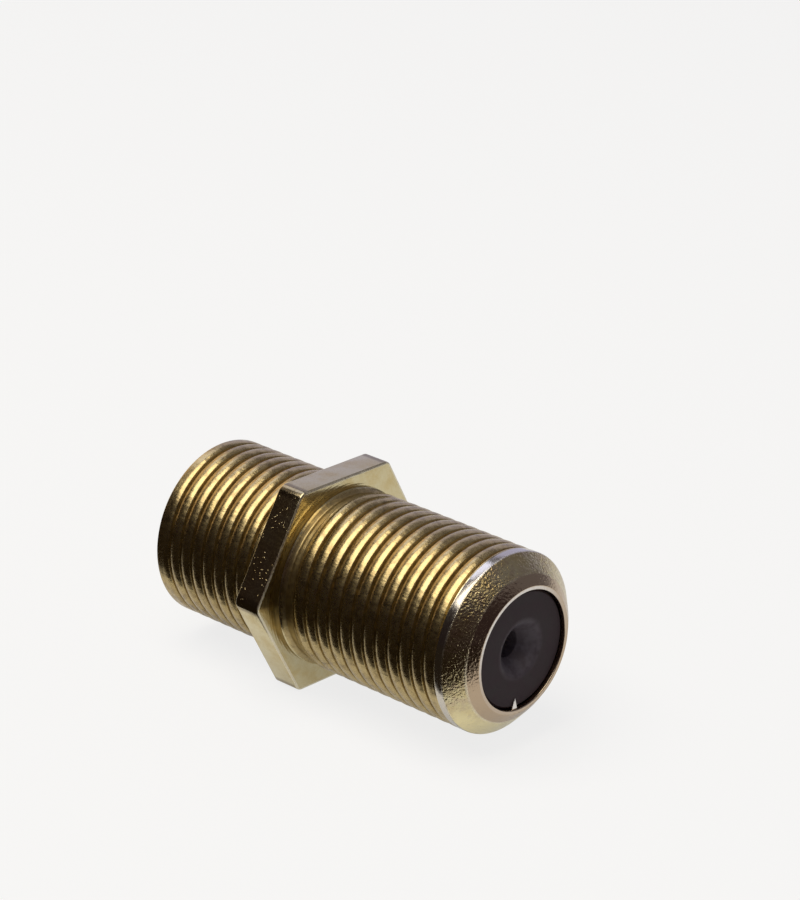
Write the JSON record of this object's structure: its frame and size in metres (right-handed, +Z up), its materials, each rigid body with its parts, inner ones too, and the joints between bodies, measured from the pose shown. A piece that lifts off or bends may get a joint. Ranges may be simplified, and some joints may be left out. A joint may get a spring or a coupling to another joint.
{
  "type": "f connector",
  "caption": "Female-to-female coaxial coupler with two threaded ends, a hexagonal flange and a sprung centre contact held in moulded insulators.",
  "frame": {"origin": "on the barrel's axis, midway between the two rims", "axes": "+X along the axis towards the rim of the long end, +Z up, away from the flat of the flange that it lies on"},
  "size_m": [0.0214, 0.0124, 0.011],
  "materials": {
    "nickel_plate": "bright nickel plating over turned brass",
    "dark_plastic": "moulded, matt",
    "spring_bronze": "bare phosphor bronze sheet"
  },
  "bodies": {
    "root": {"shell": "nickel_plate", "front_insulator": "dark_plastic", "rear_insulator": "dark_plastic", "contact": "spring_bronze"}
  },
  "joints": []
}
